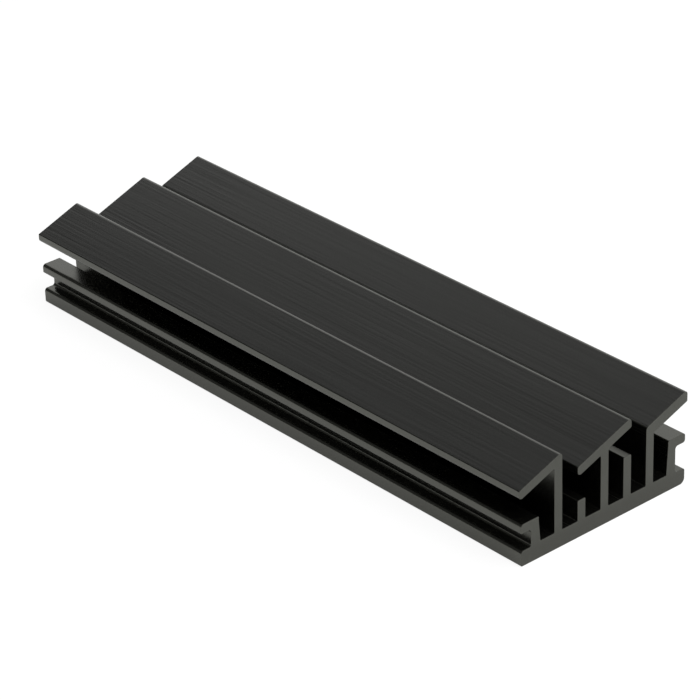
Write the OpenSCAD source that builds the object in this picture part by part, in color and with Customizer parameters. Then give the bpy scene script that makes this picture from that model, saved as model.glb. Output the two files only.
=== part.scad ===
// Heat sink for a 22 mm wide solid-state drive module.
// One extruded bar of aluminium, cut square at both ends: a flat base, seven upright
// walls, a clip groove along each side and three slanted blades over the channels.
// X runs along the bar, the lower groove flange faces -Y, Z is up from the base.
// The origin is the centre of the underside.

/* [Body] */
// Length the bar is cut to
body_length = 73; // [40:1:110]
// Width over the outer edges of the blades
body_width = 22; // [21:0.5:25]
// Height of the highest edge of the blades
body_height = 10; // [9.6:0.1:14]

/* [Base] */
// Thickness of the base between the walls
base_thickness = 1.8; // [1.4:0.1:2.4]
// Thickness of the base where it sticks out as a lip
lip_thickness = 1.65; // [1.2:0.05:1.8]
// How far the lips and flanges stay inside the edge of the blades
lip_setback = 0.2; // [0:0.1:0.6]

/* [Walls] */
// Spacing from one wall to the next
wall_pitch = 3; // [2.6:0.1:3.2]
// Thickness of the walls
wall_thickness = 1; // [0.7:0.1:1.3]
// Height of the free wall on the front side
front_free_height = 4; // [2.8:0.1:5]
// Height of the free wall on the rear side
rear_free_height = 6.15; // [2.8:0.05:6.6]
// How much thicker the outer walls are at the foot
outer_wall_draft = 0.2; // [0:0.05:0.3]

/* [Side flanges] */
// Thickness of the flange over each groove
flange_thickness = 1; // [0.7:0.1:1.3]
// Top of the flange on the front side
front_flange_height = 4.5; // [4:0.1:5.5]
// Top of the flange on the rear side
rear_flange_height = 5.5; // [4:0.1:6.5]

/* [Blades] */
// Thickness of the front and the middle blade
blade_thickness = 1; // [0.8:0.1:1.4]
// Thickness of the rear blade
rear_blade_thickness = 1.2; // [0.8:0.1:1.5]
// Rise of the blades towards the rear, in degrees
blade_slope = 20; // [10:1:24]

/* [Edges] */
// Rounding of the sharp edges of the blades
blade_edge_radius = 0.35; // [0.1:0.05:0.45]
// Rounding where the low edge of the rear blade turns down into its wall
shoulder_radius = 0.4; // [0.1:0.05:0.5]
// Rounding of the upper edges of the front flange and of the front lip
front_edge_radius = 0.35; // [0.05:0.05:0.4]
// Rounding of the lower edge of the front flange
front_under_radius = 0.15; // [0.05:0.05:0.4]
// Rounding of the rear flange and of the rear lip
rear_edge_radius = 0.3; // [0.05:0.05:0.4]
// Rounding of the front edge of the underside
front_base_radius = 0.2; // [0.1:0.05:0.6]
// Rounding of the rear edge of the underside
rear_base_radius = 0.6; // [0.1:0.05:0.7]
// Rounding of the blunt edges and of the free walls
small_edge_radius = 0.12; // [0.04:0.02:0.3]
// Fillet of the two inner corners of each groove
groove_fillet = 0.3; // [0.1:0.05:0.5]
// Fillet of the other inner corners
inner_fillet = 0.15; // [0.1:0.05:0.35]

/* [Hidden] */
$fn = 48;

// Places of the walls, counted from the middle one
FRONT_WALL = -3;
FRONT_CARRIER = -2;
FRONT_FREE = -1;
MIDDLE_CARRIER = 0;
REAR_FREE = 1;
REAR_CARRIER = 2;
REAR_WALL = 3;

half_width = body_width / 2;
lip_edge = half_width - lip_setback;
thinnest_blade = min(blade_thickness, rear_blade_thickness);
// Largest share of a thickness that an edge takes beside its like, beside a larger one, and alone
equal_share = 0.45;
lesser_share = 0.3;
lone_share = 0.6;
sharp_radius = min(blade_edge_radius, equal_share * thinnest_blade);
blunt_radius = min(small_edge_radius, lesser_share * thinnest_blade);
shoulder = min(shoulder_radius, lone_share * rear_blade_thickness);
free_radius = min(small_edge_radius, equal_share * wall_thickness);
front_flange_radius = min(front_edge_radius, equal_share * flange_thickness);
front_flange_under_radius = min(front_under_radius, equal_share * flange_thickness);
rear_flange_radius = min(rear_edge_radius, equal_share * flange_thickness);
front_lip_radius = min(front_edge_radius, lesser_share * lip_thickness);
rear_lip_radius = min(rear_edge_radius, lesser_share * lip_thickness);
front_underside_radius = min(front_base_radius, lone_share * lip_thickness);
rear_underside_radius = min(rear_base_radius, lone_share * lip_thickness);
// How far a corner piece reaches over the sides of its corner
corner_reach = min(wall_thickness, thinnest_blade, flange_thickness) / 4;
// How far an arc passes the sides that it runs into, so that they always meet
arc_bite = 0.0005;
// Height of the unrounded blade edge whose rounding peaks at the body height
blade_peak = body_height + sharp_radius * (tan(blade_slope) + 1 / cos(blade_slope) - 1);
// Share of a blade's thickness that a carrier wall reaches into
carrier_share = 0.3;

// Front and rear faces of a wall
function wall_front(place) = place * wall_pitch - wall_thickness / 2;
function wall_rear(place) = place * wall_pitch + wall_thickness / 2;

// Height of a blade's upper face at y, for a blade that ends at rear_y
function blade_top(y, rear_y) = blade_peak - (rear_y - y) * tan(blade_slope);

// Height of its lower face there
function blade_under(y, rear_y, thickness) = blade_top(y, rear_y) - thickness / cos(blade_slope);

// Height inside a blade where the wall that carries it ends, below the rounding of its tip
function carrier_top(y, rear_y, thickness) =
    blade_under(y, rear_y, thickness) + carrier_share * thickness / cos(blade_slope);

// Geometry of a corner that is rounded between two straight sides
function unit(v) = v / norm(v);
function half_angle(before, corner, after) =
    acos(unit(before - corner) * unit(after - corner)) / 2;
function tangent_point(corner, toward, r, half) =
    corner + unit(toward - corner) * r / tan(half);
function arc_centre(before, corner, after, r) =
    corner + unit(unit(before - corner) + unit(after - corner))
        * r / sin(half_angle(before, corner, after));

// Corner between the sides that run to the points before and after it, which go round
// counterclockwise, without the circle that touches both sides. It reaches a little way
// over the sides. Added to an inner corner it is a fillet, taken off an outer corner it
// rounds it.
module corner_piece(before, corner, after, r) {
    half = half_angle(before, corner, after);
    centre = arc_centre(before, corner, after, r - arc_bite);
    start = tangent_point(corner, before, r - arc_bite, half);
    end = tangent_point(corner, after, r - arc_bite, half);
    difference() {
        polygon([
            centre,
            start,
            start + unit(start - centre) * corner_reach,
            corner + unit(corner - centre) * corner_reach / sin(half),
            end + unit(end - centre) * corner_reach,
            end
        ]);
        translate(centre)
            circle(r = r);
    }
}

// Straight-sided outline, drawn counterclockwise, with the corners that have a radius rounded
module rounded_outline(points, radii) {
    count = len(points);
    difference() {
        polygon(points);
        for (i = [0 : count - 1])
            if (radii[i] > 0)
                corner_piece(
                    points[(i + count - 1) % count],
                    points[i],
                    points[(i + 1) % count],
                    radii[i]
                );
    }
}

// Flat base: full height between the outer walls, thinner lips outside them
module base_section() {
    rounded_outline(
        [
            [-lip_edge, 0],
            [lip_edge, 0],
            [lip_edge, lip_thickness],
            [-lip_edge, lip_thickness]
        ],
        [front_underside_radius, rear_underside_radius, rear_lip_radius, front_lip_radius]
    );
    translate([wall_front(FRONT_WALL), lip_thickness / 2])
        square([wall_rear(REAR_WALL) - wall_front(FRONT_WALL), base_thickness - lip_thickness / 2]);
}

// Outer wall with its flange, drawn for the rear side. The radii are those of the lower and
// the upper edge of the flange.
module groove_wall_section(flange_top, under_radius, upper_radius) {
    flange_bottom = flange_top - flange_thickness;
    flange_middle = flange_top - flange_thickness / 2;
    outer = wall_rear(REAR_WALL);
    inner = wall_front(REAR_WALL);
    inner_foot = inner - outer_wall_draft;
    polygon([
        [inner_foot, base_thickness],
        [inner_foot, base_thickness / 2],
        [outer, base_thickness / 2],
        [outer, flange_middle],
        [inner, flange_middle]
    ]);
    rounded_outline(
        [
            [inner, flange_bottom],
            [lip_edge, flange_bottom],
            [lip_edge, flange_top],
            [inner, flange_top]
        ],
        [0, under_radius, upper_radius, blunt_radius]
    );
    corner_piece([outer, flange_bottom], [outer, lip_thickness], [lip_edge, lip_thickness], groove_fillet);
    corner_piece([lip_edge, flange_bottom], [outer, flange_bottom], [outer, lip_thickness], groove_fillet);
    corner_piece(
        [inner_foot - 1, base_thickness],
        [inner_foot, base_thickness],
        [inner, flange_middle],
        inner_fillet
    );
}

// Fillets on both sides of a wall's foot
module wall_foot_section(place) {
    front = [wall_front(place), base_thickness];
    rear = [wall_rear(place), base_thickness];
    corner_piece(front - [1, 0], front, front + [0, 1], inner_fillet);
    corner_piece(rear + [0, 1], rear, rear + [1, 0], inner_fillet);
}

// Wall that stands free between two others
module free_wall_section(place, top) {
    rounded_outline(
        [
            [wall_front(place), base_thickness / 2],
            [wall_rear(place), base_thickness / 2],
            [wall_rear(place), top],
            [wall_front(place), top]
        ],
        [0, 0, free_radius, free_radius]
    );
    wall_foot_section(place);
}

// Wall that carries a blade, its top inside the blade
module carrier_wall_section(place, rear_y, thickness) {
    polygon([
        [wall_front(place), base_thickness / 2],
        [wall_rear(place), base_thickness / 2],
        [wall_rear(place), carrier_top(wall_rear(place), rear_y, thickness)],
        [wall_front(place), carrier_top(wall_front(place), rear_y, thickness)]
    ]);
    wall_foot_section(place);
}

// Slanted blade with upright ends. The radii are those of its lower front, lower rear,
// upper rear and upper front edges.
module blade_section(front_y, rear_y, thickness, radii) {
    rounded_outline(
        [
            [front_y, blade_under(front_y, rear_y, thickness)],
            [rear_y, blade_under(rear_y, rear_y, thickness)],
            [rear_y, blade_top(rear_y, rear_y)],
            [front_y, blade_top(front_y, rear_y)]
        ],
        radii
    );
}

// Fillet under a blade, in front of its wall
module front_blade_fillet(wall_y, rear_y, thickness) {
    corner_piece(
        [wall_y, base_thickness],
        [wall_y, blade_under(wall_y, rear_y, thickness)],
        [wall_y - 1, blade_under(wall_y - 1, rear_y, thickness)],
        inner_fillet
    );
}

// Fillet under a blade, behind its wall
module rear_blade_fillet(wall_y, rear_y, thickness) {
    corner_piece(
        [wall_y + 1, blade_under(wall_y + 1, rear_y, thickness)],
        [wall_y, blade_under(wall_y, rear_y, thickness)],
        [wall_y, base_thickness],
        inner_fillet
    );
}

// Blade over the front groove, its high end flush with the wall under it
module front_blade_section() {
    rear_y = wall_rear(FRONT_CARRIER);
    carrier_wall_section(FRONT_CARRIER, rear_y, blade_thickness);
    blade_section(
        -half_width,
        rear_y,
        blade_thickness,
        [sharp_radius, 0, sharp_radius, blunt_radius]
    );
    front_blade_fillet(wall_front(FRONT_CARRIER), rear_y, blade_thickness);
}

// Middle blade, carried at its centre and as wide as the two free walls stand apart
module middle_blade_section() {
    rear_y = wall_rear(REAR_FREE);
    carrier_wall_section(MIDDLE_CARRIER, rear_y, blade_thickness);
    blade_section(
        wall_front(FRONT_FREE),
        rear_y,
        blade_thickness,
        [sharp_radius, blunt_radius, sharp_radius, blunt_radius]
    );
    front_blade_fillet(wall_front(MIDDLE_CARRIER), rear_y, blade_thickness);
    rear_blade_fillet(wall_rear(MIDDLE_CARRIER), rear_y, blade_thickness);
}

// Blade over the rear groove, its low end flush with the wall under it
module rear_blade_section() {
    rear_y = half_width;
    carrier_wall_section(REAR_CARRIER, rear_y, rear_blade_thickness);
    blade_section(
        wall_front(REAR_CARRIER),
        rear_y,
        rear_blade_thickness,
        [0, blunt_radius, sharp_radius, shoulder]
    );
    rear_blade_fillet(wall_rear(REAR_CARRIER), rear_y, rear_blade_thickness);
}

// Whole section of the bar, x across the heat sink and y up
module heat_sink_section() {
    base_section();
    mirror([1, 0])
        groove_wall_section(front_flange_height, front_flange_under_radius, front_flange_radius);
    groove_wall_section(rear_flange_height, rear_flange_radius, rear_flange_radius);
    free_wall_section(FRONT_FREE, front_free_height);
    free_wall_section(REAR_FREE, rear_free_height);
    front_blade_section();
    middle_blade_section();
    rear_blade_section();
}

module heat_sink() {
    color("#45464a")
        rotate([90, 0, 90])
            linear_extrude(body_length, center = true)
                heat_sink_section();
}

heat_sink();
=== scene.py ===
import math

import bmesh
import bpy
from bpy.props import FloatProperty, FloatVectorProperty, IntProperty, PointerProperty
from bpy.types import Operator, Panel, PropertyGroup
from mathutils import Matrix, Vector


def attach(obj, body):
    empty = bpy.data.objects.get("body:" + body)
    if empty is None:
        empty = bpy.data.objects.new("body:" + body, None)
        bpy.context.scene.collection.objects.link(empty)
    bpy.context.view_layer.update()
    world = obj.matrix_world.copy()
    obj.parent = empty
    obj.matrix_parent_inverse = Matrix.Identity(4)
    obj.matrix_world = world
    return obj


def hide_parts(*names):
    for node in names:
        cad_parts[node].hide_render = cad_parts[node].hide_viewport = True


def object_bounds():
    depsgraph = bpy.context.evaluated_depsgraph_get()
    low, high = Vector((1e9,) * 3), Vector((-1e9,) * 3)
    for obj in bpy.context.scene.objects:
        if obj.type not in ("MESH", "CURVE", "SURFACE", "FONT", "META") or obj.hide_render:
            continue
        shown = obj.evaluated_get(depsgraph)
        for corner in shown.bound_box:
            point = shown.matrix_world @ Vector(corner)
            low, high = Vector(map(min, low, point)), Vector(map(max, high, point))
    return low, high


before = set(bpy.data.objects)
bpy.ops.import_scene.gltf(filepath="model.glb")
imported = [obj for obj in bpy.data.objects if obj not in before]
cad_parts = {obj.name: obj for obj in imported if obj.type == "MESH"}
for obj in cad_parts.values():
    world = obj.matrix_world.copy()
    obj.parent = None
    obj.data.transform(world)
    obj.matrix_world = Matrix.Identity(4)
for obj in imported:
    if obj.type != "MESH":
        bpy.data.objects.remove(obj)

bl_info = {
    "name": "Extruded Heat Sink",
    "version": (1, 0, 0),
    "blender": (4, 5, 0),
    "location": "3D View > Sidebar > Heat Sink",
    "description": "Builds a black anodised heat sink bar with slanted blades, and its studio",
    "category": "Add Mesh",
}

CAD_LOW, CAD_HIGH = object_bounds()

# Share of the floor's own white in what the camera sees and in what reflections show;
# the rest is lit by the studio, so it keeps the shadow
FLOOR_GLOW_SHARE = 0.85
FLOOR_MIRROR_SHARE = 0.3
FLOOR_GLOW = 1.06

# The floor lies this far under the bar, so that no two faces share a plane
FLOOR_GAP = 0.00002

# Brightness of the studio round the bar, by direction from the front side (-1) to the rear side (1)
SKY_LEVELS = ((-1.0, 0.12), (-0.20, 0.14), (0.085, 0.13), (0.18, 0.94), (0.40, 0.96), (1.0, 1.0))

# The studio is white below the horizon, and falls to a share of its brightness overhead
HORIZON = (-0.06, 0.02)
OVERHEAD = (0.65, 0.80)
OVERHEAD_SHARE = 0.52

# Faces that meet at less than this are shaded as one round face
SHARP_ANGLE = math.radians(20.0)

# A point this share of the radius before each arc keeps the shading of the flat faces flat
FLAT_MARGIN = 0.12

# A cut end's normal has at least this much along the bar, a blade face's this much across the blade
END_NORMAL = 0.9
BLADE_NORMAL = 0.95

# Blade faces lie above this share of the height
BLADE_SHARE = 0.7

# Points nearer than this are one point
WELD_DISTANCE = 1e-7

# Noise values between which a finish goes from its deepest to its thinnest dye
NOISE_LOW, NOISE_HIGH = 0.35, 0.65

# Weight of a finish's fine marks against its slow unevenness
FINE_WEIGHT = 0.65

# How strong the painted highlight is on the rounded peaks of the blades and on the low shoulder
PEAK_HIGHLIGHT = 1.0
SHOULDER_HIGHLIGHT = 0.6

# Places of the upright walls, counted from the middle one
FRONT_WALL, FRONT_CARRIER, FRONT_FREE, MIDDLE_CARRIER, REAR_FREE, REAR_CARRIER, REAR_WALL = range(-3, 4)


def length_value(name, description, default):
    return FloatProperty(
        name=name, description=description, default=default, min=0.0, precision=5, unit="LENGTH"
    )


def colour_value(name, description, default):
    return FloatVectorProperty(
        name=name, description=description, default=default, size=3, min=0.0, max=1.0, subtype="COLOR"
    )


class HeatSinkSizes(PropertyGroup):
    """Sizes of the bar and of its section"""

    length: length_value("Length", "Length that the bar is cut to", CAD_HIGH.x - CAD_LOW.x)
    width: length_value("Width", "Width over the blades", CAD_HIGH.y - CAD_LOW.y)
    height: length_value("Height", "Height of the highest blade edge", CAD_HIGH.z - CAD_LOW.z)
    base_thickness: length_value("Base", "Thickness of the base between the walls", 0.0018)
    lip_thickness: length_value("Lip", "Thickness of the base outside the walls", 0.00165)
    lip_setback: length_value("Setback", "Lips and flanges stay this far inside the blades", 0.0002)
    wall_pitch: length_value("Wall Pitch", "Spacing of the upright walls", 0.003)
    wall_thickness: length_value("Wall", "Thickness of the upright walls", 0.001)
    wall_draft: length_value("Draft", "Outer walls are this much thicker at the foot", 0.0002)
    front_free_height: length_value("Front Free Wall", "Height of the front free wall", 0.004)
    rear_free_height: length_value("Rear Free Wall", "Height of the rear free wall", 0.00615)
    flange_thickness: length_value("Flange", "Thickness of the flanges over the grooves", 0.001)
    front_flange_height: length_value("Front Flange", "Top of the front flange", 0.0045)
    rear_flange_height: length_value("Rear Flange", "Top of the rear flange", 0.0055)
    blade_thickness: length_value("Blade", "Thickness of the front and middle blade", 0.001)
    rear_blade_thickness: length_value("Rear Blade", "Thickness of the rear blade", 0.0012)
    blade_slope: FloatProperty(
        name="Blade Slope",
        description="Rise of the blades towards the rear",
        default=math.radians(20.0),
        subtype="ANGLE",
    )
    blade_edge: length_value("Blade Edge", "Rounding of the sharp edges of the blades", 0.00035)
    shoulder: length_value("Shoulder", "Rounding of the low edge of the rear blade", 0.0004)
    front_edge: length_value("Front Edge", "Rounding on top of the front flange and lip", 0.00035)
    front_under_edge: length_value("Front Under Edge", "Rounding under the front flange", 0.00015)
    rear_edge: length_value("Rear Edge", "Rounding of the rear flange and lip", 0.0003)
    front_base_edge: length_value("Front Base Edge", "Rounding of the underside in front", 0.0002)
    rear_base_edge: length_value("Rear Base Edge", "Rounding of the underside at the rear", 0.0006)
    small_edge: length_value("Small Edge", "Rounding of the blunt edges", 0.00012)
    groove_fillet: length_value("Groove Fillet", "Fillet of the inner corners of the grooves", 0.0003)
    inner_fillet: length_value("Inner Fillet", "Fillet of the other inner corners", 0.00015)
    end_chamfer: length_value("End Chamfer", "Width of the broken edge round the cut ends", 0.00002)
    arc_steps: IntProperty(
        name="Arc Steps", description="Faces round a right-angled corner", default=7, min=2, max=24
    )


class HeatSinkFinish(PropertyGroup):
    """Colours of the anodised surfaces and of the studio"""

    blade_colour: colour_value("Blade", "Dye of the brushed blade faces", (0.0060, 0.0063, 0.0060))
    bar_colour: colour_value("Bar", "Dye of the faces as they left the die", (0.0020, 0.0020, 0.0018))
    end_colour: colour_value("Ends", "Dye of the sawn end faces", (0.0160, 0.0162, 0.0140))
    # Colour that the sawn ends take above the base, so the ends of the walls and blades are lighter than
    # the end of the base
    wall_end_colour: colour_value("Wall Ends", "Colour of the sawn ends above the base", (0.030, 0.031, 0.027))
    blade_sheen: colour_value("Blade Sheen", "Tint of the blades' reflections", (1.0, 1.0, 0.94))
    bar_sheen: colour_value("Bar Sheen", "Tint of the other reflections", (0.985, 1.0, 0.86))
    # Grey of the painted highlight on the rounded blade peaks and the low shoulder
    peak_highlight_colour: colour_value("Peak Highlight", "Grey of the painted highlight on the blade peaks", (0.22, 0.22, 0.20))
    floor_colour: colour_value("Floor", "Colour of the floor", (0.93, 0.93, 0.93))


class StudioSizes(PropertyGroup):
    """Camera, floor and lamp"""

    camera_place: FloatVectorProperty(
        name="Camera",
        description="Place of the camera",
        default=(0.21611, -0.182957, 0.158899),
        size=3,
        subtype="TRANSLATION",
        unit="LENGTH",
    )
    camera_azimuth: FloatProperty(
        name="Azimuth", description="Direction of the view", default=math.radians(49.6625), subtype="ANGLE"
    )
    camera_elevation: FloatProperty(
        name="Elevation", description="Height of the view", default=math.radians(28.6406), subtype="ANGLE"
    )
    camera_roll: FloatProperty(
        name="Roll", description="Turn of the picture", default=math.radians(-1.9571), subtype="ANGLE"
    )
    camera_lens: FloatProperty(
        name="Lens", description="Focal length", default=165.181, unit="CAMERA"
    )
    floor_size: length_value("Floor", "Edge of the square floor", 6.0)
    lamp_place: FloatVectorProperty(
        name="Lamp",
        description="Place of the soft lamp",
        default=(0.22, 0.0, 0.60),
        size=3,
        subtype="TRANSLATION",
        unit="LENGTH",
    )
    lamp_size: length_value("Lamp Size", "Edge of the square lamp", 0.4)
    lamp_power: FloatProperty(name="Lamp Power", description="Power of the lamp", default=2.8, unit="POWER")


# Section of the bar


def rounded_corner(before, corner, after, radius, steps):
    """Points of the arc that rounds a corner, with one point on each side just before it starts"""
    to_before = (before - corner).normalized()
    to_after = (after - corner).normalized()
    half = to_before.angle(to_after) / 2
    reach = radius / math.tan(half)
    centre = corner + (to_before + to_after).normalized() * (radius / math.sin(half))
    start = corner + to_before * reach - centre
    end = corner + to_after * reach - centre
    turn = start.angle_signed(end)
    count = max(2, math.ceil(abs(turn) / (math.pi / 2) * steps))
    margin = radius * FLAT_MARGIN
    points = [(centre + start + to_before * margin, 0.0)]
    for i in range(count + 1):
        arc = Matrix.Rotation(-turn * i / count, 2) @ start
        on_arc = 0 < i < count
        points.append((centre + arc, 1.0 if on_arc else 0.0))
    points.append((centre + end + to_after * margin, 0.0))
    return points


def section_corners(sizes):
    """Corners of the section, counterclockwise from the front of the underside, each with its radius"""
    half = sizes.width / 2
    lip = half - sizes.lip_setback
    base = sizes.base_thickness
    rise = math.tan(sizes.blade_slope)
    upright = 1 / math.cos(sizes.blade_slope)
    peak = sizes.height + sizes.blade_edge * (rise + upright - 1)
    sharp, blunt, inner = sizes.blade_edge, sizes.small_edge, sizes.inner_fillet

    def face(place, side):
        return place * sizes.wall_pitch + side * sizes.wall_thickness / 2

    def top(y, rear_y):
        return peak - (rear_y - y) * rise

    def under(y, rear_y, thickness):
        return top(y, rear_y) - thickness * upright

    def groove_side(flange_top, upper_edge, under_edge):
        """From the lip up round the groove and the flange to the foot inside, for the rear side"""
        outer, inside = face(REAR_WALL, 1), face(REAR_WALL, -1)
        below = flange_top - sizes.flange_thickness
        return [
            (lip, sizes.lip_thickness, upper_edge),
            (outer, sizes.lip_thickness, sizes.groove_fillet),
            (outer, below, sizes.groove_fillet),
            (lip, below, under_edge),
            (lip, flange_top, upper_edge),
            (inside, flange_top, blunt),
            (inside, flange_top - sizes.flange_thickness / 2, 0.0),
            (inside - sizes.wall_draft, base, inner),
        ]

    def free_wall(place, height):
        rear, front = face(place, 1), face(place, -1)
        return [(rear, base, inner), (rear, height, blunt), (front, height, blunt), (front, base, inner)]

    front_side = [
        (-y, z, r)
        for y, z, r in reversed(
            groove_side(sizes.front_flange_height, sizes.front_edge, sizes.front_under_edge)
        )
    ]
    thin, thick = sizes.blade_thickness, sizes.rear_blade_thickness
    front_tip, middle_tip, rear_tip = face(FRONT_CARRIER, 1), face(REAR_FREE, 1), half
    low = face(FRONT_FREE, -1)
    rear_blade = [
        (face(REAR_CARRIER, 1), base, inner),
        (face(REAR_CARRIER, 1), under(face(REAR_CARRIER, 1), rear_tip, thick), inner),
        (rear_tip, under(rear_tip, rear_tip, thick), blunt),
        (rear_tip, peak, sharp),
        (face(REAR_CARRIER, -1), top(face(REAR_CARRIER, -1), rear_tip), sizes.shoulder),
        (face(REAR_CARRIER, -1), base, inner),
    ]
    middle_blade = [
        (face(MIDDLE_CARRIER, 1), base, inner),
        (face(MIDDLE_CARRIER, 1), under(face(MIDDLE_CARRIER, 1), middle_tip, thin), inner),
        (middle_tip, under(middle_tip, middle_tip, thin), blunt),
        (middle_tip, peak, sharp),
        (low, top(low, middle_tip), blunt),
        (low, under(low, middle_tip, thin), sharp),
        (face(MIDDLE_CARRIER, -1), under(face(MIDDLE_CARRIER, -1), middle_tip, thin), inner),
        (face(MIDDLE_CARRIER, -1), base, inner),
    ]
    front_blade = [
        (front_tip, base, inner),
        (front_tip, peak, sharp),
        (-half, top(-half, front_tip), blunt),
        (-half, under(-half, front_tip, thin), sharp),
        (face(FRONT_CARRIER, -1), under(face(FRONT_CARRIER, -1), front_tip, thin), inner),
        (face(FRONT_CARRIER, -1), base, inner),
    ]
    return (
        [(-lip, 0.0, sizes.front_base_edge), (lip, 0.0, sizes.rear_base_edge)]
        + groove_side(sizes.rear_flange_height, sizes.rear_edge, sizes.rear_edge)
        + rear_blade
        + free_wall(REAR_FREE, sizes.rear_free_height)
        + middle_blade
        + free_wall(FRONT_FREE, sizes.front_free_height)
        + front_blade
        + front_side
    )


def corner_highlight(sizes, z, radius):
    """How strong the painted highlight is on a corner's rounding"""
    if z >= sizes.height:
        return PEAK_HIGHLIGHT
    if radius == sizes.shoulder:
        return SHOULDER_HIGHLIGHT
    return 0.0


def section_outline(sizes):
    """Outline of the section as (across, up, edge), where edge is the strength of the painted highlight on
    a rounding
    """
    corners = section_corners(sizes)
    outline = []
    for i, (y, z, radius) in enumerate(corners):
        here = Vector((y, z))
        before = Vector(corners[i - 1][:2])
        after = Vector(corners[(i + 1) % len(corners)][:2])
        if radius == 0:
            outline.append((y, z, 0.0))
            continue
        # Strength of the painted highlight on this rounding
        highlight = corner_highlight(sizes, z, radius)
        for point, on_arc in rounded_corner(before, here, after, radius, sizes.arc_steps):
            outline.append((point.x, point.y, on_arc * highlight))
    return outline


def section_mesh(sizes, start_x):
    """Section as one upright face that looks along the bar"""
    outline = section_outline(sizes)
    mesh = bpy.data.meshes.new("section")
    mesh.from_pydata([(start_x, y, z) for y, z, _ in outline], [], [range(len(outline))])
    # The edge attribute carries the strength of the painted highlight to the shader
    edge = mesh.attributes.new("edge", "FLOAT", "POINT")
    edge.data.foreach_set("value", [e for _, _, e in outline])
    return mesh


# Node helpers


def node(tree, kind, **values):
    """New node with its settings, and its inputs by name or index"""
    made = tree.nodes.new(kind)
    for key, value in values.pop("inputs", {}).items():
        made.inputs[key].default_value = value
    for key, value in values.items():
        setattr(made, key, value)
    return made


def math_node(tree, operation, first, second=None, third=None, clamp=False):
    made = node(tree, "ShaderNodeMath", operation=operation, use_clamp=clamp)
    for socket, value in zip(made.inputs, (first, second, third)):
        if value is None:
            continue
        if isinstance(value, (int, float)):
            socket.default_value = value
        else:
            tree.links.new(value, socket)
    return made.outputs[0]


def remap(tree, value, low, high, to_low, to_high):
    made = node(tree, "ShaderNodeMapRange")
    tree.links.new(value, made.inputs["Value"])
    for name, number in (("From Min", low), ("From Max", high), ("To Min", to_low), ("To Max", to_high)):
        made.inputs[name].default_value = number
    return made.outputs["Result"]


def colour_mix(tree, factor, first, second):
    """Mix of two colours, each a colour or a socket"""
    made = node(tree, "ShaderNodeMix", data_type="RGBA")
    tree.links.new(factor, made.inputs[0])
    for socket, value in ((made.inputs[6], first), (made.inputs[7], second)):
        if isinstance(value, bpy.types.NodeSocket):
            tree.links.new(value, socket)
        else:
            socket.default_value = (*value, 1.0)
    return made.outputs[2]


def new_group(name, kind, inputs, outputs):
    """Empty node group with its sockets, and its input and output nodes"""
    group = bpy.data.node_groups.new(name, kind)
    for socket_name, socket_kind, default in inputs:
        socket = group.interface.new_socket(socket_name, in_out="INPUT", socket_type=socket_kind)
        if default is not None:
            socket.default_value = default
    for socket_name, socket_kind in outputs:
        group.interface.new_socket(socket_name, in_out="OUTPUT", socket_type=socket_kind)
    return group, group.nodes.new("NodeGroupInput"), group.nodes.new("NodeGroupOutput")


# Geometry nodes: the bar


def bar_tree():
    """Section drawn out along the bar, closed at both ends, with a finish for each kind of face"""
    group, inp, out = new_group(
        "extruded_bar",
        "GeometryNodeTree",
        [
            ("Section", "NodeSocketGeometry", None),
            ("Length", "NodeSocketFloat", 0.073),
            ("Blade Slope", "NodeSocketFloat", math.radians(20.0)),
            ("Lowest Blade", "NodeSocketFloat", 0.006),
            ("Bar Finish", "NodeSocketMaterial", None),
            ("Blade Finish", "NodeSocketMaterial", None),
            ("End Finish", "NodeSocketMaterial", None),
        ],
        [("Bar", "NodeSocketGeometry")],
    )
    link = group.links.new
    along = node(group, "ShaderNodeCombineXYZ")
    link(inp.outputs["Length"], along.inputs[0])
    drawn = node(group, "GeometryNodeExtrudeMesh", mode="FACES")
    drawn.inputs["Individual"].default_value = False
    drawn.inputs["Offset Scale"].default_value = 1.0
    link(inp.outputs["Section"], drawn.inputs["Mesh"])
    link(along.outputs[0], drawn.inputs["Offset"])
    back = node(group, "GeometryNodeFlipFaces")
    link(inp.outputs["Section"], back.inputs["Mesh"])
    joined = node(group, "GeometryNodeJoinGeometry")
    link(drawn.outputs["Mesh"], joined.inputs[0])
    link(back.outputs[0], joined.inputs[0])
    welded = node(group, "GeometryNodeMergeByDistance", inputs={"Distance": WELD_DISTANCE})
    link(joined.outputs[0], welded.inputs["Geometry"])

    normal = node(group, "GeometryNodeInputNormal")
    axes = node(group, "ShaderNodeSeparateXYZ")
    link(normal.outputs[0], axes.inputs[0])
    place = node(group, "ShaderNodeSeparateXYZ")
    link(node(group, "GeometryNodeInputPosition").outputs[0], place.inputs[0])
    ends = math_node(group, "GREATER_THAN", math_node(group, "ABSOLUTE", axes.outputs[0]), END_NORMAL)
    sine = math_node(group, "SINE", inp.outputs["Blade Slope"])
    cosine = math_node(group, "COSINE", inp.outputs["Blade Slope"])
    facing = math_node(
        group,
        "SUBTRACT",
        math_node(group, "MULTIPLY", axes.outputs[2], cosine),
        math_node(group, "MULTIPLY", axes.outputs[1], sine),
    )
    blades = math_node(
        group,
        "MULTIPLY",
        math_node(group, "GREATER_THAN", facing, BLADE_NORMAL),
        math_node(group, "GREATER_THAN", place.outputs[2], inp.outputs["Lowest Blade"]),
    )
    smooth = node(group, "GeometryNodeSetShadeSmooth")
    link(welded.outputs[0], smooth.inputs["Geometry"])
    real = node(group, "GeometryNodeRealizeInstances")
    link(smooth.outputs[0], real.inputs[0])
    current = real.outputs[0]
    for finish, chosen in (("Bar Finish", None), ("Blade Finish", blades), ("End Finish", ends)):
        painted = node(group, "GeometryNodeSetMaterial")
        link(current, painted.inputs["Geometry"])
        link(inp.outputs[finish], painted.inputs["Material"])
        if chosen is not None:
            link(chosen, painted.inputs["Selection"])
        current = painted.outputs[0]
    link(current, out.inputs[0])
    return group


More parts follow.
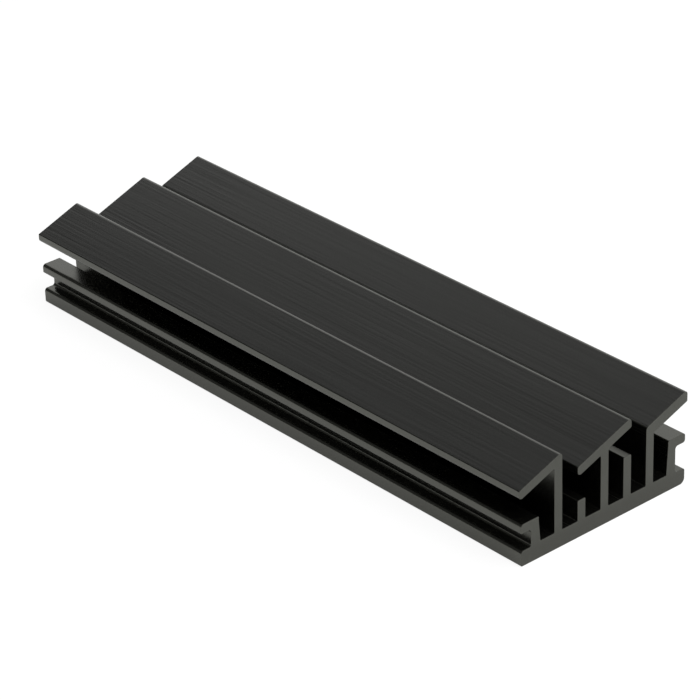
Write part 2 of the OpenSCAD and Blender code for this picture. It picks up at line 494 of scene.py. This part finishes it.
def set_input(modifier, name, value):
    """Sets a tree's input by the identifier of its socket"""
    for item in modifier.node_group.interface.items_tree:
        if item.item_type == "SOCKET" and item.in_out == "INPUT" and item.name == name:
            modifier[item.identifier] = value
            return
    raise RuntimeError("the tree has no input " + name)


def made_plain(source, name):
    """Plain mesh object from what the modifiers of a source object make"""
    graph = bpy.context.evaluated_depsgraph_get()
    mesh = bpy.data.meshes.new_from_object(
        source.evaluated_get(graph), preserve_all_data_layers=True, depsgraph=graph
    )
    mesh.name = name
    for index in reversed(range(len(mesh.materials))):
        if mesh.materials[index] is None:
            mesh.materials.pop(index=index)
    piece = bpy.data.objects.new(name, mesh)
    bpy.context.collection.objects.link(piece)
    old = source.data
    source.modifiers.clear()
    bpy.data.objects.remove(source)
    bpy.data.meshes.remove(old)
    return piece


def break_end_edges(mesh, width):
    """Narrow chamfer round both cut ends, and sharp edges where flat faces meet"""
    work = bmesh.new()
    work.from_mesh(mesh)
    caps = [f for f in work.faces if abs(f.normal.x) > END_NORMAL]
    rims = {e for f in caps for e in f.edges}
    bmesh.ops.bevel(
        work,
        geom=list(rims),
        offset=width,
        offset_type="OFFSET",
        segments=1,
        affect="EDGES",
        clamp_overlap=False,
    )
    work.normal_update()
    work.to_mesh(mesh)
    work.free()
    mesh.set_sharp_from_angle(angle=SHARP_ANGLE)


# Shader groups


def lines_group():
    """Fine lines along the bar, as brushing or the die leaves them, and slower bands.

    They are full at the far end and have the Near Strength from half way to the middle on.
    """
    group, inp, out = new_group(
        "lines_along_bar",
        "ShaderNodeTree",
        [
            ("Fineness", "NodeSocketFloat", 9000.0),
            ("Run", "NodeSocketFloat", 45.0),
            ("Near Strength", "NodeSocketFloat", 1.0),
        ],
        [("Lines", "NodeSocketFloat"), ("Bands", "NodeSocketFloat")],
    )
    link = group.links.new
    place = node(group, "ShaderNodeTexCoord")
    axes = node(group, "ShaderNodeSeparateXYZ")
    link(place.outputs["Object"], axes.inputs[0])
    strength = remap(group, axes.outputs[0], CAD_LOW.x * 0.9, CAD_LOW.x * 0.5, 1.0, 0.0)
    near = inp.outputs["Near Strength"]
    strength = math_node(group, "MULTIPLY_ADD", strength, math_node(group, "SUBTRACT", 1.0, near), near)
    lines, bands = (1.0, 1.0, 4.0), (0.14, 0.35, 2.0)
    for index, (share, run_share, detail) in enumerate((lines, bands)):
        across = math_node(group, "MULTIPLY", inp.outputs["Fineness"], share)
        along = math_node(group, "MULTIPLY", inp.outputs["Run"], run_share)
        stretched = node(group, "ShaderNodeCombineXYZ")
        link(math_node(group, "MULTIPLY", axes.outputs[0], along), stretched.inputs[0])
        link(math_node(group, "MULTIPLY", axes.outputs[1], across), stretched.inputs[1])
        link(math_node(group, "MULTIPLY", axes.outputs[2], across), stretched.inputs[2])
        noise = node(
            group, "ShaderNodeTexNoise", inputs={"Scale": 1.0, "Detail": detail, "Roughness": 0.6}
        )
        link(stretched.outputs[0], noise.inputs["Vector"])
        swing = math_node(group, "SUBTRACT", noise.outputs[0], 0.5)
        link(math_node(group, "MULTIPLY_ADD", swing, strength, 0.5), out.inputs[index])
    return group


def grain_group():
    """Fine even grain of a blasted or sawn face, and its slow unevenness"""
    group, inp, out = new_group(
        "matte_grain",
        "ShaderNodeTree",
        [("Grain Size", "NodeSocketFloat", 9000.0)],
        [("Grain", "NodeSocketFloat"), ("Clouds", "NodeSocketFloat")],
    )
    link = group.links.new
    place = node(group, "ShaderNodeTexCoord")
    fine = node(group, "ShaderNodeTexNoise", inputs={"Detail": 3.0, "Roughness": 0.65})
    link(place.outputs["Object"], fine.inputs["Vector"])
    link(inp.outputs["Grain Size"], fine.inputs["Scale"])
    slow = node(group, "ShaderNodeTexNoise", inputs={"Scale": 260.0, "Detail": 2.0})
    link(place.outputs["Object"], slow.inputs["Vector"])
    link(fine.outputs[0], out.inputs[0])
    link(slow.outputs[0], out.inputs[1])
    return group


def peak_highlight_group():
    """Mask of the painted highlight on the rounded peaks and the shoulder, broken up along the bar"""
    group, inp, out = new_group(
        "painted_peak_highlights",
        "ShaderNodeTree",
        [("Amount", "NodeSocketFloat", 0.5)],
        [("Highlight", "NodeSocketFloat")],
    )
    link = group.links.new
    edge = node(group, "ShaderNodeAttribute", attribute_name="edge")
    place = node(group, "ShaderNodeTexCoord")
    patches = node(group, "ShaderNodeTexNoise", inputs={"Scale": 900.0, "Detail": 4.0})
    link(place.outputs["Object"], patches.inputs["Vector"])
    broken = remap(group, patches.outputs[0], 0.3, 0.7, 0.55, 1.0)
    # Painted highlight: the edge attribute, broken up along the bar
    painted_highlight = math_node(group, "MULTIPLY", edge.outputs["Fac"], broken)
    link(math_node(group, "MULTIPLY", painted_highlight, inp.outputs["Amount"], clamp=True), out.inputs[0])
    return group


def above_group():
    """Where a face lies above the base, on the walls and blades"""
    group, inp, out = new_group(
        "above_base",
        "ShaderNodeTree",
        [("Low", "NodeSocketFloat", 0.0), ("High", "NodeSocketFloat", 0.001)],
        [("Above", "NodeSocketFloat")],
    )
    link = group.links.new
    axes = node(group, "ShaderNodeSeparateXYZ")
    link(node(group, "ShaderNodeTexCoord").outputs["Object"], axes.inputs[0])
    ramp = node(group, "ShaderNodeMapRange")
    link(axes.outputs[2], ramp.inputs["Value"])
    link(inp.outputs["Low"], ramp.inputs["From Min"])
    link(inp.outputs["High"], ramp.inputs["From Max"])
    link(ramp.outputs["Result"], out.inputs[0])
    return group


def use_group(tree, group, inputs):
    made = node(tree, "ShaderNodeGroup", node_tree=group)
    for name, value in inputs.items():
        made.inputs[name].default_value = value
    return made


def anodised(name, dye, sheen, index, contrast, roughness, bump, marks, over=None):
    """Anodised aluminium: dyed oxide, with the marks of the surface under it.

    marks is a pattern group with its inputs; over is a mask group with its inputs and the colour
    that the dye changes to under the mask.
    """
    material = bpy.data.materials.new(name)
    material.use_nodes = True
    tree = material.node_tree
    tree.nodes.clear()
    link = tree.links.new
    surface = node(tree, "ShaderNodeBsdfPrincipled", inputs={"IOR": index, "Metallic": 0.0})
    surface.inputs["Specular Tint"].default_value = (*sheen, 1.0)
    output = node(tree, "ShaderNodeOutputMaterial")
    link(surface.outputs[0], output.inputs[0])
    pattern = use_group(tree, *marks)
    fine, slow = pattern.outputs[0], pattern.outputs[1]
    weighed = math_node(tree, "MULTIPLY", fine, FINE_WEIGHT)
    both = math_node(tree, "MULTIPLY_ADD", slow, 1 - FINE_WEIGHT, weighed)
    deep = tuple(c * (1 - contrast) for c in dye)
    thin = tuple(c * (1 + contrast) for c in dye)
    colour = colour_mix(tree, remap(tree, both, NOISE_LOW, NOISE_HIGH, 0.0, 1.0), deep, thin)
    if over:
        mask_group, mask_inputs, over_colour = over
        mask = use_group(tree, mask_group, mask_inputs)
        colour = colour_mix(tree, mask.outputs[0], colour, over_colour)
    link(colour, surface.inputs["Base Color"])
    link(remap(tree, both, NOISE_LOW, NOISE_HIGH, *roughness), surface.inputs["Roughness"])
    raised = node(tree, "ShaderNodeBump", inputs={"Strength": bump[0], "Distance": bump[1]})
    link(fine, raised.inputs["Height"])
    link(raised.outputs[0], surface.inputs["Normal"])
    return material


def finishes(look, sizes):
    """The three finishes of the bar: faces as drawn, brushed blade faces, sawn ends"""
    lines, grain = lines_group(), grain_group()
    bar = anodised(
        "drawn_faces",
        look.bar_colour,
        look.bar_sheen,
        index=1.79,
        contrast=0.35,
        roughness=(0.20, 0.28),
        bump=(0.08, 0.00002),
        marks=(lines, {"Fineness": 4000.0, "Run": 25.0}),
    )
    blades = anodised(
        "brushed_blade_faces",
        look.blade_colour,
        look.blade_sheen,
        index=1.60,
        contrast=0.66,
        roughness=(0.18, 0.28),
        bump=(0.33, 0.00004),
        marks=(lines, {"Fineness": 3600.0, "Run": 60.0, "Near Strength": 0.60}),
        # Painted highlight in grey on the rounded blade peaks and the low shoulder
        over=(peak_highlight_group(), {"Amount": 0.27}, look.peak_highlight_colour),
    )
    base = sizes.base_thickness
    ends = anodised(
        "sawn_end_faces",
        look.end_colour,
        look.bar_sheen,
        index=1.64,
        contrast=0.50,
        roughness=(0.40, 0.56),
        bump=(0.30, 0.00003),
        marks=(grain, {"Grain Size": 6500.0}),
        # The sawn ends are lighter above the base
        over=(above_group(), {"Low": base * 0.65, "High": base * 1.55}, look.wall_end_colour),
    )
    return bar, blades, ends


class OBJECT_OT_extrude_heat_sink(Operator):
    """Draws the section out into the one-piece heat sink bar and gives each face its finish"""

    bl_idname = "object.extrude_heat_sink"
    bl_label = "Extrude Heat Sink"
    bl_options = {"REGISTER", "UNDO"}

    def execute(self, context):
        sizes = context.scene.heat_sink_sizes
        look = context.scene.heat_sink_finish
        start = (CAD_LOW.x + CAD_HIGH.x) / 2 - sizes.length / 2
        source = bpy.data.objects.new("section_source", section_mesh(sizes, start))
        context.collection.objects.link(source)
        bar, blades, ends = finishes(look, sizes)
        modifier = source.modifiers.new("extruded_bar", "NODES")
        modifier.node_group = bar_tree()
        for name, value in (
            ("Length", sizes.length),
            ("Blade Slope", sizes.blade_slope),
            ("Lowest Blade", sizes.height * BLADE_SHARE),
            ("Bar Finish", bar),
            ("Blade Finish", blades),
            ("End Finish", ends),
        ):
            set_input(modifier, name, value)
        piece = made_plain(source, "heat_sink_bar")
        break_end_edges(piece.data, sizes.end_chamfer)
        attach(piece, "root")
        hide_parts("heat_sink")
        return {"FINISHED"}


# Stage


def add_camera(studio):
    data = bpy.data.cameras.new("photo_camera")
    data.lens = studio.camera_lens
    data.sensor_width = 36.0
    data.clip_start, data.clip_end = 0.01, 20.0
    camera = bpy.data.objects.new("photo_camera", data)
    bpy.context.collection.objects.link(camera)
    azimuth, elevation = studio.camera_azimuth, studio.camera_elevation
    back = Vector(
        (
            math.sin(azimuth) * math.cos(elevation),
            -math.cos(azimuth) * math.cos(elevation),
            math.sin(elevation),
        )
    )
    right = (-back).cross(Vector((0, 0, 1))).normalized()
    up = right.cross(-back)
    turn = Matrix.Rotation(studio.camera_roll, 3, back)
    axes = Matrix((turn @ right, turn @ up, back)).transposed()
    camera.matrix_world = Matrix.Translation(studio.camera_place) @ axes.to_4x4()
    bpy.context.scene.camera = camera


def add_floor(size, colour):
    """Large pale floor, white where the camera and reflections see it, and clear from below"""
    mesh = bpy.data.meshes.new("floor")
    half = size / 2
    mesh.from_pydata(
        [(-half, -half, 0), (half, -half, 0), (half, half, 0), (-half, half, 0)], [], [(0, 1, 2, 3)]
    )
    floor = bpy.data.objects.new("floor", mesh)
    floor.location.z = -FLOOR_GAP
    bpy.context.collection.objects.link(floor)
    material = bpy.data.materials.new("floor_white")
    material.use_nodes = True
    tree = material.node_tree
    tree.nodes.clear()
    link = tree.links.new
    paint = node(tree, "ShaderNodeBsdfDiffuse", inputs={"Color": (*colour, 1.0)})
    glow = node(tree, "ShaderNodeEmission", inputs={"Color": (1, 1, 1, 1), "Strength": FLOOR_GLOW})
    rays = node(tree, "ShaderNodeLightPath")
    direct = math_node(tree, "MULTIPLY", rays.outputs["Is Camera Ray"], FLOOR_GLOW_SHARE)
    glossy, transmitted = rays.outputs["Is Glossy Ray"], rays.outputs["Is Transmission Ray"]
    mirrored = math_node(tree, "MAXIMUM", glossy, transmitted)
    mirrored = math_node(tree, "MULTIPLY", mirrored, FLOOR_MIRROR_SHARE)
    white = node(tree, "ShaderNodeMixShader")
    link(math_node(tree, "MAXIMUM", direct, mirrored), white.inputs[0])
    link(paint.outputs[0], white.inputs[1])
    link(glow.outputs[0], white.inputs[2])
    one_sided = node(tree, "ShaderNodeMixShader")
    link(node(tree, "ShaderNodeNewGeometry").outputs["Backfacing"], one_sided.inputs[0])
    link(white.outputs[0], one_sided.inputs[1])
    link(node(tree, "ShaderNodeBsdfTransparent").outputs[0], one_sided.inputs[2])
    output = node(tree, "ShaderNodeOutputMaterial")
    link(one_sided.outputs[0], output.inputs[0])
    mesh.materials.append(material)


def add_sky():
    """Soft studio round: bright behind the bar, dim on its front side and dimmer overhead"""
    world = bpy.data.worlds.new("studio")
    bpy.context.scene.world = world
    world.use_nodes = True
    tree = world.node_tree
    tree.nodes.clear()
    link = tree.links.new
    place = node(tree, "ShaderNodeTexCoord")
    axes = node(tree, "ShaderNodeSeparateXYZ")
    link(place.outputs["Generated"], axes.inputs[0])
    wall = node(tree, "ShaderNodeValToRGB")
    ramp = wall.color_ramp
    while len(ramp.elements) < len(SKY_LEVELS):
        ramp.elements.new(0.5)
    for element, (across, level) in zip(ramp.elements, SKY_LEVELS):
        element.position = (across + 1) / 2
        element.color = (level, level, level, 1.0)
    link(remap(tree, axes.outputs[1], -1.0, 1.0, 0.0, 1.0), wall.inputs[0])
    above = remap(tree, axes.outputs[2], *HORIZON, 0.0, 1.0)
    backdrop = colour_mix(tree, above, (1.0, 1.0, 1.0), wall.outputs[0])
    white = node(tree, "ShaderNodeBackground", inputs={"Color": (1, 1, 1, 1), "Strength": 1.0})
    studio = node(tree, "ShaderNodeBackground", inputs={"Strength": 1.0})
    link(backdrop, studio.inputs[0])
    link(remap(tree, axes.outputs[2], *OVERHEAD, 1.0, OVERHEAD_SHARE), studio.inputs[1])
    rays = node(tree, "ShaderNodeLightPath")
    mixed = node(tree, "ShaderNodeMixShader")
    link(rays.outputs["Is Camera Ray"], mixed.inputs[0])
    link(studio.outputs[0], mixed.inputs[1])
    link(white.outputs[0], mixed.inputs[2])
    output = node(tree, "ShaderNodeOutputWorld")
    link(mixed.outputs[0], output.inputs[0])


def add_lamp(studio):
    """Soft square lamp above the near end, turned to the bar"""
    data = bpy.data.lights.new("soft_lamp", "AREA")
    data.shape = "SQUARE"
    data.size = studio.lamp_size
    data.energy = studio.lamp_power
    lamp = bpy.data.objects.new("soft_lamp", data)
    bpy.context.collection.objects.link(lamp)
    place = Vector(studio.lamp_place)
    lamp.location = place
    lamp.rotation_mode = "QUATERNION"
    lamp.rotation_quaternion = (-place).to_track_quat("-Z", "Y")


class OBJECT_OT_heat_sink_stage(Operator):
    """Sets up the floor, the soft light and the camera"""

    bl_idname = "object.heat_sink_stage"
    bl_label = "Set Up Stage"
    bl_options = {"REGISTER", "UNDO"}

    def execute(self, context):
        studio = context.scene.heat_sink_studio
        context.scene.view_settings.view_transform = "Standard"
        add_camera(studio)
        add_floor(studio.floor_size, context.scene.heat_sink_finish.floor_colour)
        add_sky()
        add_lamp(studio)
        return {"FINISHED"}


class VIEW3D_PT_heat_sink(Panel):
    """Sizes, finishes and the steps that build the heat sink"""

    bl_label = "Heat Sink"
    bl_idname = "VIEW3D_PT_heat_sink"
    bl_space_type = "VIEW_3D"
    bl_region_type = "UI"
    bl_category = "Heat Sink"

    def draw(self, context):
        scene = context.scene
        for values in (scene.heat_sink_sizes, scene.heat_sink_finish, scene.heat_sink_studio):
            column = self.layout.column(align=True)
            for key in values.__annotations__:
                column.prop(values, key)
        for operator in (OBJECT_OT_extrude_heat_sink, OBJECT_OT_heat_sink_stage):
            self.layout.operator(operator.bl_idname)


CLASSES = (
    HeatSinkSizes,
    HeatSinkFinish,
    StudioSizes,
    OBJECT_OT_extrude_heat_sink,
    OBJECT_OT_heat_sink_stage,
    VIEW3D_PT_heat_sink,
)


def register():
    for cls in CLASSES:
        bpy.utils.register_class(cls)
    bpy.types.Scene.heat_sink_sizes = PointerProperty(type=HeatSinkSizes)
    bpy.types.Scene.heat_sink_finish = PointerProperty(type=HeatSinkFinish)
    bpy.types.Scene.heat_sink_studio = PointerProperty(type=StudioSizes)


def unregister():
    del bpy.types.Scene.heat_sink_studio
    del bpy.types.Scene.heat_sink_finish
    del bpy.types.Scene.heat_sink_sizes
    for cls in reversed(CLASSES):
        bpy.utils.unregister_class(cls)


def main():
    register()
    bpy.ops.object.heat_sink_stage()
    bpy.ops.object.extrude_heat_sink()


if __name__ == "__main__":
    main()
